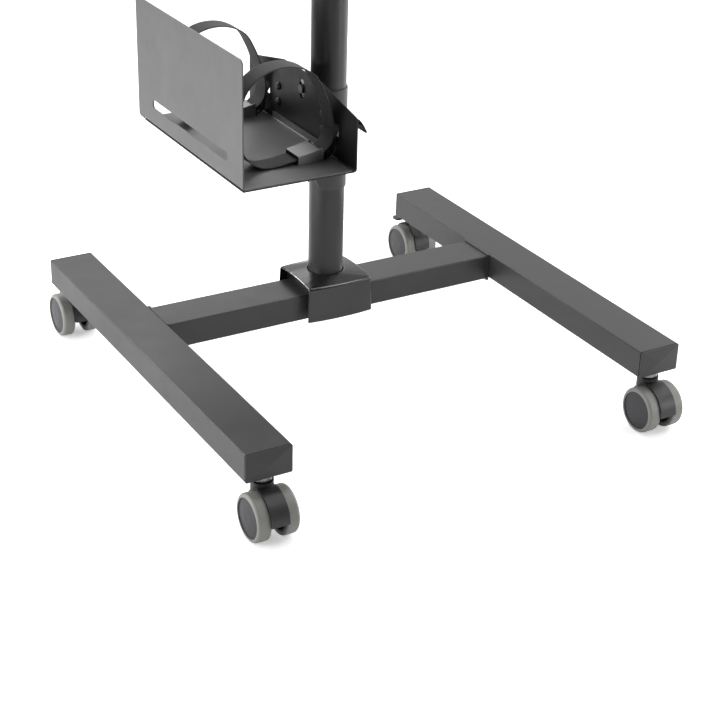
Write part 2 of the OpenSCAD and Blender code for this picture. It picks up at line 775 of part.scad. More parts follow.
// Unit vector square to the path at point i
function normal_at(p, i) =
  let (d = route_point(p, i + 1) - route_point(p, i - 1)) [-d[1], d[0]] / norm(d);

module webbing(route, w, t) {
  path = smooth_path(route, strap_steps);
  left = [for (i = [0 : len(path) - 1]) path[i] + normal_at(path, i) * t / 2];
  right = [for (i = [len(path) - 1 : -1 : 0]) path[i] - normal_at(path, i) * t / 2];
  along_y(-w / 2, w / 2) polygon(concat(left, right));
}

// Puts a strap or buckle, drawn from the wall's inner face and the tray's floor, in its place
module at_strap(y) {
  translate([wall_x - sheet, y, tray_top]) children();
}

module cradle_strap(y) color("#3a3a3c") at_strap(y) webbing(strap_route, strap_w, strap_t);

// Cam buckle: frame with two cheeks and a bar, and a lever that bites the webbing

buckle_right = -27;
buckle_left = buckle_right - buckle_len;
buckle_w = strap_w + 2 * (buckle_t + 1);
cam_pin = [buckle_right - 5.5, 15.8];
cam_pin_r = 1.75;
bar_at = [buckle_right - 1.5, 8.2];
bar_r = 1.4;

module buckle_frame(y) color("#58585b") at_strap(y) {
  low = slip;
  translate([buckle_left, -buckle_w / 2, low]) cube([buckle_len, buckle_w, buckle_t]);
  difference() {
    for (s = [-1, 1]) translate([0, s * (buckle_w / 2 - buckle_t / 2), 0])
      along_y(-buckle_t / 2, buckle_t / 2) polygon([
        [buckle_left, low], [buckle_right, low], [buckle_right + 0.5, 19.5],
        [buckle_right - 1.5, 21.5], [buckle_left, 13.2]]);
    translate([cam_pin[0], 0, cam_pin[1]]) bar_y(-buckle_w, buckle_w, cam_pin_r + run);
  }
  translate([bar_at[0], 0, bar_at[1]]) bar_y(-buckle_w / 2 + 0.5, buckle_w / 2 - 0.5, bar_r);
}

module buckle_cam(y) color("#6a6a6d") at_strap(y) {
  half = buckle_w / 2 - buckle_t - slip;
  along_y(-half, half) {
    polygon([
      [buckle_left + 0.5, 13.6], [cam_pin[0] - 1, cam_pin[1] + 4.2], [cam_pin[0] + 2.5, cam_pin[1] + 3],
      [cam_pin[0], cam_pin[1] - 4], [cam_pin[0] - 2, 4], [cam_pin[0] - 5.5, 4],
      [cam_pin[0] - 8, 13], [cam_pin[0] - 11, 16.4], [buckle_left + 0.5, 11.6]]);
    translate(cam_pin) circle(4);
  }
  translate([cam_pin[0], 0, cam_pin[1]]) bar_y(-buckle_w / 2 - 0.4, buckle_w / 2 + 0.4, cam_pin_r);
}

// Monitor head: clamp sleeve on the pole, tilting head and square plate

ear_in = 22;
ear_t = 7;
ear_r = 16;
tilt_boss_r = 15;
tilt_block = 34;
pad_w = 90;
pad_h = 120;
pad_t = 5;
nut_af = 17;
knob_r = 16;
knob_h = 18;
plate_y = -tilt_reach - tilt_block;
sleeve_r = pole_r + sleeve_wall;
knob_z = head_z + sleeve_h / 4;

module mount_sleeve() color("#333335") difference() {
  union() {
    translate([0, 0, head_z - sleeve_h / 2]) cylinder(h = sleeve_h, r = sleeve_r);
    for (x = [-1, 1]) translate([x * (ear_in + ear_t / 2), 0, head_z]) {
      translate([0, -tilt_reach, 0]) bar_x(-ear_t / 2, ear_t / 2, ear_r);
      translate([-ear_t / 2, -tilt_reach, -ear_r]) cube([ear_t, tilt_reach - 20, 2 * ear_r]);
    }
    translate([0, sleeve_r - 4, knob_z]) bar_y(0, 12, 12);
  }
  translate([0, 0, head_z - sleeve_h]) cylinder(h = 2 * sleeve_h, r = pole_r + 0.1);
  translate([0, -tilt_reach, head_z]) bar_x(-beam_w, beam_w, tilt_d / 2 + run);
  translate([0, 0, knob_z]) bar_y(pole_r - over, sleeve_r + 20, 5 + run);
}

module height_knob() color("#29292b") translate([0, 0, knob_z]) {
  knob_y = sleeve_r + 8 + 2;
  bar_y(pole_r + slip + 0.1, knob_y + 2, 5);
  translate([0, knob_y + knob_h, 0]) rotate([90, 0, 0]) linear_extrude(knob_h) union() {
    circle(knob_r);
    for (a = [0 : 60 : 300]) rotate(a) translate([knob_r - 1, 0]) circle(knob_r * 0.375);
  }
}

module tilt_head() color("#333335") difference() {
  lug_w = 2 * (ear_in - slip);
  union() {
    translate([0, -tilt_reach, head_z]) bar_x(-lug_w / 2, lug_w / 2, tilt_boss_r);
    translate([-lug_w / 2, plate_y, head_z - tilt_boss_r]) cube([lug_w, tilt_block, 2 * tilt_boss_r]);
    translate([0, 0, head_z]) along_y(plate_y, plate_y + pad_t) round_rect(pad_w, pad_h, 8);
  }
  translate([0, -tilt_reach, head_z]) bar_x(-lug_w, lug_w, tilt_d / 2 + run);
}

module tilt_bolt() color("#8d8f92") translate([0, -tilt_reach, head_z]) {
  end = ear_in + ear_t;
  bar_x(-end, end + 12, tilt_d / 2);
  hex_x(-end - 6, -end, nut_af);
  hex_x(end, end + 8, nut_af);
}

module monitor_plate() color("#333335") difference() {
  translate([0, 0, head_z]) along_y(plate_y - plate_t, plate_y) round_rect(plate_w, plate_w, 10);
  for (x = [-1, 1], z = [-1, 1]) {
    translate([x * hole_gap_small / 2, 0, head_z + z * hole_gap_small / 2])
      bar_y(plate_y - plate_t - over, plate_y + over, hole_small_d / 2);
    translate([x * hole_gap_large / 2, 0, head_z + z * hole_gap_large / 2])
      bar_y(plate_y - plate_t - over, plate_y + over, hole_large_d / 2);
  }
}

left_beam();
right_beam();
front_left_cap();
front_right_cap();
rear_left_cap();
rear_right_cap();
cross_beam();
beam_bolts();
pole_shroud();
pole();
pole_foot_bolt();
pole_top_cap();
caster_stem(-1, false);  // front_left_stem
caster_hood(-1, false, false);  // front_left_hood
caster_axle(-1, false);  // front_left_axle
caster_hub(-1, false, true);  // front_left_outer_hub
caster_tyre(-1, false, true);  // front_left_outer_tyre
caster_hub(-1, false, false);  // front_left_inner_hub
caster_tyre(-1, false, false);  // front_left_inner_tyre
caster_stem(1, false);  // front_right_stem
caster_hood(1, false, false);  // front_right_hood
caster_axle(1, false);  // front_right_axle
caster_hub(1, false, true);  // front_right_outer_hub
caster_tyre(1, false, true);  // front_right_outer_tyre
caster_hub(1, false, false);  // front_right_inner_hub
caster_tyre(1, false, false);  // front_right_inner_tyre
caster_stem(-1, true);  // rear_left_stem
caster_hood(-1, true, false);  // rear_left_hood
caster_axle(-1, true);  // rear_left_axle
caster_hub(-1, true, true);  // rear_left_outer_hub
caster_tyre(-1, true, true);  // rear_left_outer_tyre
caster_hub(-1, true, false);  // rear_left_inner_hub
caster_tyre(-1, true, false);  // rear_left_inner_tyre
caster_stem(1, true);  // rear_right_stem
caster_hood(1, true, true);  // rear_right_hood
caster_axle(1, true);  // rear_right_axle
caster_hub(1, true, true);  // rear_right_outer_hub
caster_tyre(1, true, true);  // rear_right_outer_tyre
caster_hub(1, true, false);  // rear_right_inner_hub
caster_tyre(1, true, false);  // rear_right_inner_tyre
brake_pedal(1);  // rear_right_pedal
cradle_wall();
cradle_tray();
tray_screws();
clamp_bracket();
clamp_saddle();
clamp_bolts();
cradle_strap(-strap_front);  // front_strap
buckle_frame(-strap_front);  // front_buckle
buckle_cam(-strap_front);  // front_cam
cradle_strap(strap_rear);  // rear_strap
buckle_frame(strap_rear);  // rear_buckle
buckle_cam(strap_rear);  // rear_cam
mount_sleeve();
height_knob();
tilt_head();
tilt_bolt();
monitor_plate();
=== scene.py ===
# %% [markdown]
# A rolling stand for a screen: two side beams on casters, a cross beam, a round pole with a
# strap-down cradle clamped to it, and a tilting screen plate at the top.
# The solids come from CAD and keep their sizes. Blender adds what CAD leaves plain: the coats,
# the rubber, the woven webbing with its stitching, the light and the camera.

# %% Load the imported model
import bmesh
import bpy
import math
from mathutils import Matrix, Vector


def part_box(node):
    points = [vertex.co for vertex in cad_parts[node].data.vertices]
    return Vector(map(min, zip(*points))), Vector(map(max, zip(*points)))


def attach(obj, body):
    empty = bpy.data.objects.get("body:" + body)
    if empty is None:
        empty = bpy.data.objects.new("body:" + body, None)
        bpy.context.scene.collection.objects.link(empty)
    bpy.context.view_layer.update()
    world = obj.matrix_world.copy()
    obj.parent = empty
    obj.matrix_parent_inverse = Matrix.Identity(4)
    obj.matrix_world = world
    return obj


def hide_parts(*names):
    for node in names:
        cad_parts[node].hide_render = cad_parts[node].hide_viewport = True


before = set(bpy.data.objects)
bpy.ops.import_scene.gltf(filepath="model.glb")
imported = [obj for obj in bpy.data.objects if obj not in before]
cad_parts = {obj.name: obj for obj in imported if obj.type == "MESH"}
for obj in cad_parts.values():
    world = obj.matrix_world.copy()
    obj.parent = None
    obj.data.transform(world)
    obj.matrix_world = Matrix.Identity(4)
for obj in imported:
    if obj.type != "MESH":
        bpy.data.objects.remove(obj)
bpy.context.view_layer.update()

# %% [markdown]
# Everything new is made the same way: some data, an object that carries it, and a link to the
# scene. Two small helpers do that, so the later cells only say what is special about their piece.
# A piece's place is in its mesh, and its object stays at the origin, like the CAD nodes.

# %% Helpers for new objects
def placed(name, data):
    """A new object that carries the data, linked to the scene."""
    made = bpy.data.objects.new(name, data)
    bpy.context.scene.collection.objects.link(made)
    return made


def shaped(name, bm):
    """A new object with the shape of a bmesh, which is freed."""
    mesh = bpy.data.meshes.new(name)
    bm.to_mesh(mesh)
    bm.free()
    return placed(name, mesh)


# %% [markdown]
# The camera stands where the photographer's stood: to the left, in front and above. Its place was
# worked out from the beams' edges, so it is written as a point, two angles and a small roll. A long
# lens keeps the beams almost parallel. Building the matrix from three unit vectors avoids guessing
# rotation orders.

# %% Camera
AZIMUTH, ELEVATION, ROLL = math.radians(-30.568), math.radians(27.220), math.radians(1.596)
CAMERA_AT = Vector((-1.3224, -2.3636, 1.3825))
IMAGE = 720
FOCAL_PX = 1738.19
CENTRE_PX = 359.88
SENSOR_MM = 36

back = Vector((math.sin(AZIMUTH) * math.cos(ELEVATION),
               -math.cos(AZIMUTH) * math.cos(ELEVATION), math.sin(ELEVATION)))
level = Vector((math.cos(AZIMUTH), math.sin(AZIMUTH), 0))
above = back.cross(level)
right = level * math.cos(ROLL) + above * math.sin(ROLL)
up = above * math.cos(ROLL) - level * math.sin(ROLL)

camera_data = bpy.data.cameras.new("camera")
camera_data.sensor_width = SENSOR_MM
camera_data.lens = FOCAL_PX / IMAGE * SENSOR_MM
camera_data.shift_x = (IMAGE / 2 - CENTRE_PX) / IMAGE
camera_data.shift_y = (CENTRE_PX - IMAGE / 2) / IMAGE
camera = placed("camera", camera_data)
turned = Matrix((right, up, back)).transposed().to_4x4()
camera.matrix_world = Matrix.Translation(CAMERA_AT) @ turned
bpy.context.scene.camera = camera
print("lens:", round(camera_data.lens, 2), "mm")

# %% [markdown]
# The stand is on a pale floor. The floor glows a little for the camera alone: a real backdrop is
# lit from its own side, so it stays pale far from the stand without lighting the stand. The Light
# Path node tells camera rays from the others, and a Map Range turns that into two strengths.

# %% Floor
FLOOR_HALF = 60
FLOOR_GREY = (0.86, 0.86, 0.86, 1)
FLOOR_GLOW, FLOOR_SEEN = 0.06, 0.42


def studio_floor():
    bm = bmesh.new()
    bmesh.ops.create_grid(bm, x_segments=1, y_segments=1, size=FLOOR_HALF)
    floor = shaped("studio_floor", bm)
    paint = bpy.data.materials.new("pale_floor")
    paint.use_nodes = True
    nodes, link = paint.node_tree.nodes, paint.node_tree.links.new
    shader = nodes["Principled BSDF"]
    shader.inputs["Base Color"].default_value = FLOOR_GREY
    shader.inputs["Roughness"].default_value = 0.9
    shader.inputs["Specular IOR Level"].default_value = 0.1
    shader.inputs["Emission Color"].default_value = (1, 1, 1, 1)
    rays = nodes.new("ShaderNodeLightPath")
    glow = nodes.new("ShaderNodeMapRange")
    glow.inputs["To Min"].default_value = FLOOR_GLOW
    glow.inputs["To Max"].default_value = FLOOR_SEEN
    link(rays.outputs["Is Camera Ray"], glow.inputs["Value"])
    link(glow.outputs[0], shader.inputs["Emission Strength"])
    floor.data.materials.append(paint)
    return floor


print("floor:", 2 * FLOOR_HALF, "m wide,", len(studio_floor().data.polygons), "face")

# %% [markdown]
# The light is broad and soft. The photograph's left faces are the brightest, the tops come next,
# and the faces towards the camera are dark, so there is no light in front. Each panel was first
# rendered alone. Light adds up, so the strengths that match the photograph's greys could then be
# solved for, and not guessed one by one.

# %% Light panels
# name: where it stands, what it faces, width, height, watts
PANELS = {
    "left_panel": ((-1.75, 0.1, 0.55), (0, 0, 0.3), 1.6, 1.1, 33),
    "top_panel": ((0.15, 0.3, 2.7), (0, -0.2, 0), 2.4, 1.6, 46),
    "back_panel": ((0.3, 2.6, 2.2), (0, 0, 0.2), 2.6, 1.4, 24),
    "right_panel": ((2.4, 0.2, 1.0), (0, 0, 0.6), 1.2, 1.6, 42),
    "corner_panel": ((1.4, -1.45, 0.5), (0.35, -0.4, 0.15), 0.7, 0.7, 9),
}


def soft_panel(name, at, aim, width, height, watts):
    data = bpy.data.lights.new(name, "AREA")
    data.shape = "RECTANGLE"
    data.size = width
    data.size_y = height
    data.energy = watts
    lamp = placed(name, data)
    lamp.location = at
    lamp.rotation_euler = (Vector(aim) - Vector(at)).to_track_quat("-Z", "Y").to_euler()
    lamp.visible_camera = False
    return lamp


for name, row in PANELS.items():
    print(soft_panel(name, *row).name, row[-1], "W")

# %% [markdown]
# Two small lamps draw the thin bright lines that the photograph has along rounded edges. A rounded
# edge mirrors only what lies in one narrow band of the room, so a lamp in that band lights the edge
# and hardly touches the flat faces beside it.

# %% Edge lamps
EDGE_LAMPS = {
    "beam_edge_lamp": ((-1.7, 2.5, 1.75), (0, 0, 0.14), 0.9, 0.5, 38),
    "shroud_edge_lamp": ((1.25, -1.35, 2.25), (0, 0, 0.15), 0.9, 0.5, 15),
}
for name, row in EDGE_LAMPS.items():
    print(soft_panel(name, *row).name, row[-1], "W")

# %% [markdown]
# Walls and ceiling send light back from everywhere, but not evenly. The world's light is a sum of
# soft lobes: each one is strongest along its own direction and falls with the square of the cosine,
# which is zero a quarter turn away. A plain grey world would have filled in the dark front faces.
# The camera sees a pale backdrop in the lobes' place.

# %% Glow of the room
GLOW = {"right": ((1, 0, 0), 1.7), "behind": ((0, 1, 0), 0.76), "below": ((0, 0, -1), 0.11),
        "above": ((0, 0, 1), 0.03), "front": ((0, -1, 0), 0.02), "left": ((-1, 0, 0), 0.03)}
BACKDROP_SEEN = 0.72
MIX_FACTOR, MIX_A, MIX_B = 0, 2, 3

world = bpy.data.worlds.new("studio")
world.use_nodes = True
sky = world.node_tree
looking = sky.nodes.new("ShaderNodeTexCoord")


def sky_math(operation, first, second):
    """A Math node in the world. The second input is a number or another node's output."""
    step = sky.nodes.new("ShaderNodeMath")
    step.operation = operation
    sky.links.new(first, step.inputs[0])
    if isinstance(second, (int, float)):
        step.inputs[1].default_value = second
    else:
        sky.links.new(second, step.inputs[1])
    return step.outputs[0]


def sky_lobe(direction, strength):
    along = sky.nodes.new("ShaderNodeVectorMath")
    along.operation = "DOT_PRODUCT"
    along.inputs[1].default_value = direction
    sky.links.new(looking.outputs["Generated"], along.inputs[0])
    towards = sky_math("MAXIMUM", along.outputs["Value"], 0)
    return sky_math("MULTIPLY", sky_math("POWER", towards, 2), strength)


lobes = [sky_lobe(direction, strength) for direction, strength in GLOW.values()]
total = lobes[0]
for lobe in lobes[1:]:
    total = sky_math("ADD", total, lobe)
background = sky.nodes["Background"]
background.inputs["Color"].default_value = (1, 1, 1, 1)
seen = sky.nodes.new("ShaderNodeLightPath")
choice = sky.nodes.new("ShaderNodeMix")
choice.inputs[MIX_B].default_value = BACKDROP_SEEN
sky.links.new(seen.outputs["Is Camera Ray"], choice.inputs[MIX_FACTOR])
sky.links.new(total, choice.inputs[MIX_A])
sky.links.new(choice.outputs[0], background.inputs["Strength"])
bpy.context.scene.world = world
bpy.context.scene.view_settings.view_transform = "Standard"
print("glow:", ", ".join(GLOW))

# %% [markdown]
# Materials are trees of nodes, and writing each node's place and values on one line keeps such a
# tree readable. The first helper makes a node: a keyword that is a property of the node sets that
# property, and any other names an input. The second makes an empty group with named sockets.

# %% Node helpers
def node_of(tree, kind, at, **values):
    made = tree.nodes.new(kind)
    made.location = at
    for key, value in values.items():
        if hasattr(made, key):
            setattr(made, key, value)
        else:
            made.inputs[key.replace("_", " ")].default_value = value
    return made


def new_group(name, inputs, outputs):
    group = bpy.data.node_groups.new(name, "ShaderNodeTree")
    for label, kind, value in inputs:
        made = group.interface.new_socket(label, in_out="INPUT", socket_type=kind)
        if value is not None:
            made.default_value = value
    for label, kind in outputs:
        group.interface.new_socket(label, in_out="OUTPUT", socket_type=kind)
    return group, group.nodes.new("NodeGroupInput"), group.nodes.new("NodeGroupOutput")


# %% [markdown]
# Every finish here has some grain: powder coat has a fine orange peel, moulded plastic a fine matt
# texture, rubber a coarser one. One group makes that grain, once, and each material places it with
# its own values. It is a group and not copied nodes, so a change to the grain reaches them all.
# Object coordinates keep the grain at real size on pieces of any size. A fine noise is the bump,
# and a broad one, in patches of some centimetres, varies the gloss and the tone.

# %% Grain group
BROAD_SCALE = 14.0
NOISE_LOW, NOISE_HIGH = 0.3, 0.7
VECTOR, FLOAT, COLOR = "NodeSocketVector", "NodeSocketFloat", "NodeSocketColor"
DARK = (0.04, 0.04, 0.04, 1)


def make_grain():
    group, taken, given = new_group(
        "fine_grain",
        [("Vector", VECTOR, None), ("Grain Size", FLOAT, 0.001), ("Depth", FLOAT, 0.00002),
         ("Smooth", FLOAT, 0.4), ("Rough", FLOAT, 0.55), ("Color", COLOR, DARK),
         ("Mottle", FLOAT, 0.1)],
        [("Color", COLOR), ("Roughness", FLOAT), ("Normal", VECTOR)])
    link = group.links.new
    per_size = node_of(group, "ShaderNodeMath", (-900, 0), operation="DIVIDE")
    per_size.inputs[0].default_value = 1
    fine = node_of(group, "ShaderNodeTexNoise", (-700, 100), Detail=3.0, Roughness=0.6)
    broad = node_of(group, "ShaderNodeTexNoise", (-700, -200), Scale=BROAD_SCALE, Detail=4.0,
                    Roughness=0.6)
    bump = node_of(group, "ShaderNodeBump", (-300, 100), Strength=0.6)
    gloss = node_of(group, "ShaderNodeMapRange", (-300, -150), From_Min=NOISE_LOW,
                    From_Max=NOISE_HIGH)
    shade = node_of(group, "ShaderNodeMapRange", (-500, -400), From_Min=NOISE_LOW,
                    From_Max=NOISE_HIGH)
    low = node_of(group, "ShaderNodeMath", (-700, -450), operation="SUBTRACT")
    low.inputs[0].default_value = 1
    high = node_of(group, "ShaderNodeMath", (-700, -600), operation="ADD")
    high.inputs[0].default_value = 1
    tint = node_of(group, "ShaderNodeVectorMath", (-100, -400), operation="SCALE")
    link(taken.outputs["Grain Size"], per_size.inputs[1])
    link(taken.outputs["Vector"], fine.inputs["Vector"])
    link(taken.outputs["Vector"], broad.inputs["Vector"])
    link(per_size.outputs[0], fine.inputs["Scale"])
    link(fine.outputs[0], bump.inputs["Height"])
    link(taken.outputs["Depth"], bump.inputs["Distance"])
    link(broad.outputs[0], gloss.inputs["Value"])
    link(taken.outputs["Smooth"], gloss.inputs["To Min"])
    link(taken.outputs["Rough"], gloss.inputs["To Max"])
    link(taken.outputs["Mottle"], low.inputs[1])
    link(taken.outputs["Mottle"], high.inputs[1])
    link(broad.outputs[0], shade.inputs["Value"])
    link(low.outputs[0], shade.inputs["To Min"])
    link(high.outputs[0], shade.inputs["To Max"])
    link(taken.outputs["Color"], tint.inputs[0])
    link(shade.outputs[0], tint.inputs["Scale"])
    link(tint.outputs[0], given.inputs["Color"])
    link(gloss.outputs[0], given.inputs["Roughness"])
    link(bump.outputs[0], given.inputs["Normal"])
    return group


grain = make_grain()
print("group:", grain.name, len(grain.nodes), "nodes")

# %% [markdown]
# Coated and moulded parts are lighter along their edges: partly worn, where the coat is thinner or
# handling has polished it, and partly a painted highlight for the light a rounded edge catches. The
# Bevel node gives the normal that a rounded edge would have, so where it differs from the true
# normal there is an edge. That difference is the mask of the second group, broken up by a noise in
# patches of some millimetres, because no edge is polished evenly.

# %% Edge group
RUB_SCALE = 180.0
COLOR_A, COLOR_B, COLOR_OUT = 6, 7, 2


def make_edges():
    group, taken, given = new_group(
        "edge_wear_and_highlight",
        [("Vector", VECTOR, None), ("Width", FLOAT, 0.0008), ("Amount", FLOAT, 0.5),
         ("Color", COLOR, DARK), ("Edge Color", COLOR, (0.12, 0.12, 0.12, 1))],
        [("Color", COLOR), ("Mask", FLOAT)])
    link = group.links.new
    rounded = node_of(group, "ShaderNodeBevel", (-900, 0), samples=4)
    true = node_of(group, "ShaderNodeNewGeometry", (-900, -200))
    same = node_of(group, "ShaderNodeVectorMath", (-700, 0), operation="DOT_PRODUCT")
    edge = node_of(group, "ShaderNodeMapRange", (-500, 0), From_Min=0.995, From_Max=0.8)
    rub = node_of(group, "ShaderNodeTexNoise", (-700, -250), Scale=RUB_SCALE, Detail=4.0)
    patchy = node_of(group, "ShaderNodeMapRange", (-500, -250), From_Min=0.35, From_Max=0.65)
    some = node_of(group, "ShaderNodeMath", (-300, 0), operation="MULTIPLY")
    amount = node_of(group, "ShaderNodeMath", (-150, 0), operation="MULTIPLY", use_clamp=True)
    # The lighter edge colour is partly worn coat and partly a painted highlight on the rounded
    # edge.
    blend = node_of(group, "ShaderNodeMix", (0, -200), data_type="RGBA")
    link(taken.outputs["Width"], rounded.inputs["Radius"])
    link(rounded.outputs[0], same.inputs[0])
    link(true.outputs["True Normal"], same.inputs[1])
    link(same.outputs["Value"], edge.inputs["Value"])
    link(taken.outputs["Vector"], rub.inputs["Vector"])
    link(rub.outputs[0], patchy.inputs["Value"])
    link(edge.outputs[0], some.inputs[0])
    link(patchy.outputs[0], some.inputs[1])
    link(some.outputs[0], amount.inputs[0])
    link(taken.outputs["Amount"], amount.inputs[1])
    link(amount.outputs[0], blend.inputs["Factor"])
    link(taken.outputs["Color"], blend.inputs[COLOR_A])
    link(taken.outputs["Edge Color"], blend.inputs[COLOR_B])
    link(blend.outputs[COLOR_OUT], given.inputs["Color"])
    link(amount.outputs[0], given.inputs["Mask"])
    return group


edges = make_edges()
print("group:", edges.name, len(edges.nodes), "nodes")

# %% [markdown]
# With the groups in place a finish is a short table row: its colour and its edges' colour, the size
# and depth of its grain in metres, how smooth and how rough it gets, and what else sets it apart.
# Numbers that are the same all over, such as the metal of steel, go straight on the shader.

# %% Finishes
def grained(name, color, edge_color, size, depth, smooth, rough, mottle=0.08, edge=0.4,
            edge_width=0.0008, metal=0.0, specular=0.5):
    paint = bpy.data.materials.new(name)
    paint.use_nodes = True
    tree = paint.node_tree
    shader = tree.nodes["Principled BSDF"]
    where = node_of(tree, "ShaderNodeTexCoord", (-1100, 0))
    surface = node_of(tree, "ShaderNodeGroup", (-700, 0), node_tree=grain)
    rim = node_of(tree, "ShaderNodeGroup", (-350, 150), node_tree=edges)
    for key, value in (("Grain Size", size), ("Depth", depth), ("Smooth", smooth),
                       ("Rough", rough), ("Color", (*color, 1)), ("Mottle", mottle)):
        surface.inputs[key].default_value = value
    for key, value in (("Width", edge_width), ("Amount", edge), ("Edge Color", (*edge_color, 1))):
        rim.inputs[key].default_value = value
    link = tree.links.new
    link(where.outputs["Object"], surface.inputs["Vector"])
    link(where.outputs["Object"], rim.inputs["Vector"])
    link(surface.outputs["Color"], rim.inputs["Color"])
    link(rim.outputs["Color"], shader.inputs["Base Color"])
    link(surface.outputs["Roughness"], shader.inputs["Roughness"])
    link(surface.outputs["Normal"], shader.inputs["Normal"])
    shader.inputs["Metallic"].default_value = metal
    shader.inputs["Specular IOR Level"].default_value = specular
    return paint


FINISHES = {paint.name: paint for paint in (
    grained("beam_coat", (0.034, 0.034, 0.035), (0.10, 0.10, 0.10), 0.0011, 0.00004, 0.34, 0.44,
            mottle=0.06, specular=0.36),
    grained("pole_coat", (0.024, 0.024, 0.025), (0.08, 0.08, 0.08), 0.0009, 0.00003, 0.30, 0.40,
            mottle=0.05, specular=0.36),
    # The cradle wall's coat is much darker than the other coats: painted shade for the wall's
    # shaded inner face.
    grained("sheet_coat_painted_shade", (0.010, 0.010, 0.0105), (0.09, 0.09, 0.09), 0.0008, 0.00003, 0.38, 0.50,
            mottle=0.05, edge_width=0.0006, specular=0.25),
    grained("tray_coat", (0.069, 0.069, 0.070), (0.16, 0.16, 0.16), 0.0008, 0.00003, 0.38, 0.50,
            mottle=0.04, edge_width=0.0006),
    grained("moulded", (0.012, 0.012, 0.0125), (0.07, 0.07, 0.07), 0.0007, 0.00002, 0.17, 0.24,
            mottle=0.05, edge_width=0.001, specular=0.55),
    grained("hood_moulded", (0.0115, 0.0115, 0.012), (0.05, 0.05, 0.05), 0.0008, 0.00005,
            0.38, 0.50, mottle=0.05, edge_width=0.001),
    grained("cap_moulded", (0.024, 0.024, 0.025), (0.06, 0.06, 0.06), 0.0008, 0.00003, 0.34, 0.46,
            mottle=0.05, specular=0.4),
    grained("hub_moulded", (0.018, 0.018, 0.021), (0.09, 0.09, 0.09), 0.0006, 0.00003, 0.34, 0.46,
            mottle=0.05, specular=0.42),
    grained("tread", (0.180, 0.180, 0.166), (0.33, 0.33, 0.31), 0.0010, 0.00006, 0.40, 0.52,
            mottle=0.07),
    grained("plated", (0.56, 0.57, 0.58), (0.7, 0.7, 0.7), 0.0012, 0.00002, 0.26, 0.42,
            metal=1.0),
    grained("bearing_steel", (0.20, 0.20, 0.204), (0.6, 0.6, 0.6), 0.0012, 0.00001, 0.16, 0.24,
            mottle=0.1, metal=1.0),
    # Nearly black finish for the cap necks: painted shade in the narrow gap at each cap's seam.
    grained("painted_shade_gap", (0.004, 0.004, 0.004), (0.01, 0.01, 0.01), 0.0008, 0.00003, 0.75, 0.9,
            mottle=0.2, specular=0.05),
    # Nearly black, unmetallic steel for the clamp bolts: painted shade, for the shade they sit in
    # under the strap.
    grained("painted_shade_steel", (0.022, 0.022, 0.023), (0.08, 0.08, 0.08), 0.0009, 0.00002, 0.26, 0.38,
            specular=0.4),
    grained("black_steel", (0.24, 0.24, 0.245), (0.28, 0.28, 0.28), 0.0009, 0.00003, 0.34, 0.46,
            edge=0.6, metal=0.4),
    grained("cam_steel", (0.17, 0.17, 0.173), (0.3, 0.3, 0.3), 0.0009, 0.00003, 0.28, 0.40,
            mottle=0.06, edge=0.6, metal=0.5),
)}
print("finishes:", ", ".join(FINISHES))

# %% [markdown]
# The CAD nodes have plain names, and a name's last word says what the piece is made of. So one
# table of endings can dress them all, and a caster that is added later gets its finish by itself.
# A CAD node keeps its mesh. Only its material slot changes.

# %% Dress the CAD nodes
# The first ending that fits a node's name decides. The rest is powder coated.
FINISH_OF_ENDING = {
    "_tyre": "tread", "_hub": "hub_moulded", "_cap": "cap_moulded", "_cam": "cam_steel",
    # The clamp bolts take the nearly black steel, a painted shade for the strap's shade.
    "clamp_bolts": "painted_shade_steel", "_buckle": "black_steel", "_stem": "bearing_steel",
    "_axle": "plated", "_bolt": "plated", "_bolts": "plated", "_screws": "plated",
    "_hood": "hood_moulded", "_pedal": "hood_moulded", "_shroud": "moulded",
    "_saddle": "moulded", "_knob": "moulded", "cradle_tray": "tray_coat",
    # The cradle wall takes the darkened coat, a painted shade.
    "cradle_wall": "sheet_coat_painted_shade", "pole": "pole_coat", "": "beam_coat",
}


def finish_of(node):
    return next(FINISHES[finish] for ending, finish in FINISH_OF_ENDING.items()
                if node.endswith(ending))


for node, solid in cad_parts.items():
    solid.data.materials.clear()
    solid.data.materials.append(finish_of(node))
print("dressed:", len(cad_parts), "nodes")

# %% [markdown]
# The photograph shows a dark line round each beam where its plastic cap begins: the rim stops short
# of the steel on a slightly smaller neck, which is always in shadow. A cube is scaled to the rim,
# its corners are bevelled to the tube's radius, the face is inset and poked to give the low
# four-sided point, and the neck is an inset of the back face, drawn out to the tube. The neck has
# its own nearly black finish, a painted shade that makes the gap darker than its shadow alone.

# %% End caps
TUBE_CORNER, RIM_ROUND, FACE_FRAME = 0.0025, 0.0003, 0.0007
CAP_GAP, CAP_RIM, CAP_POINT, CAP_STEP = 0.0018, 0.003, 0.003, 0.0002
BEVEL = {"profile": 0.5, "affect": "EDGES", "material": -1}
ALIGNED = 0.9
CAP_END = {"front": -1, "rear": 1}


def facing(bm, direction):
    """The face that looks most along a direction."""
    return max(bm.faces, key=lambda face: (face.normal.dot(direction), face.calc_area()))


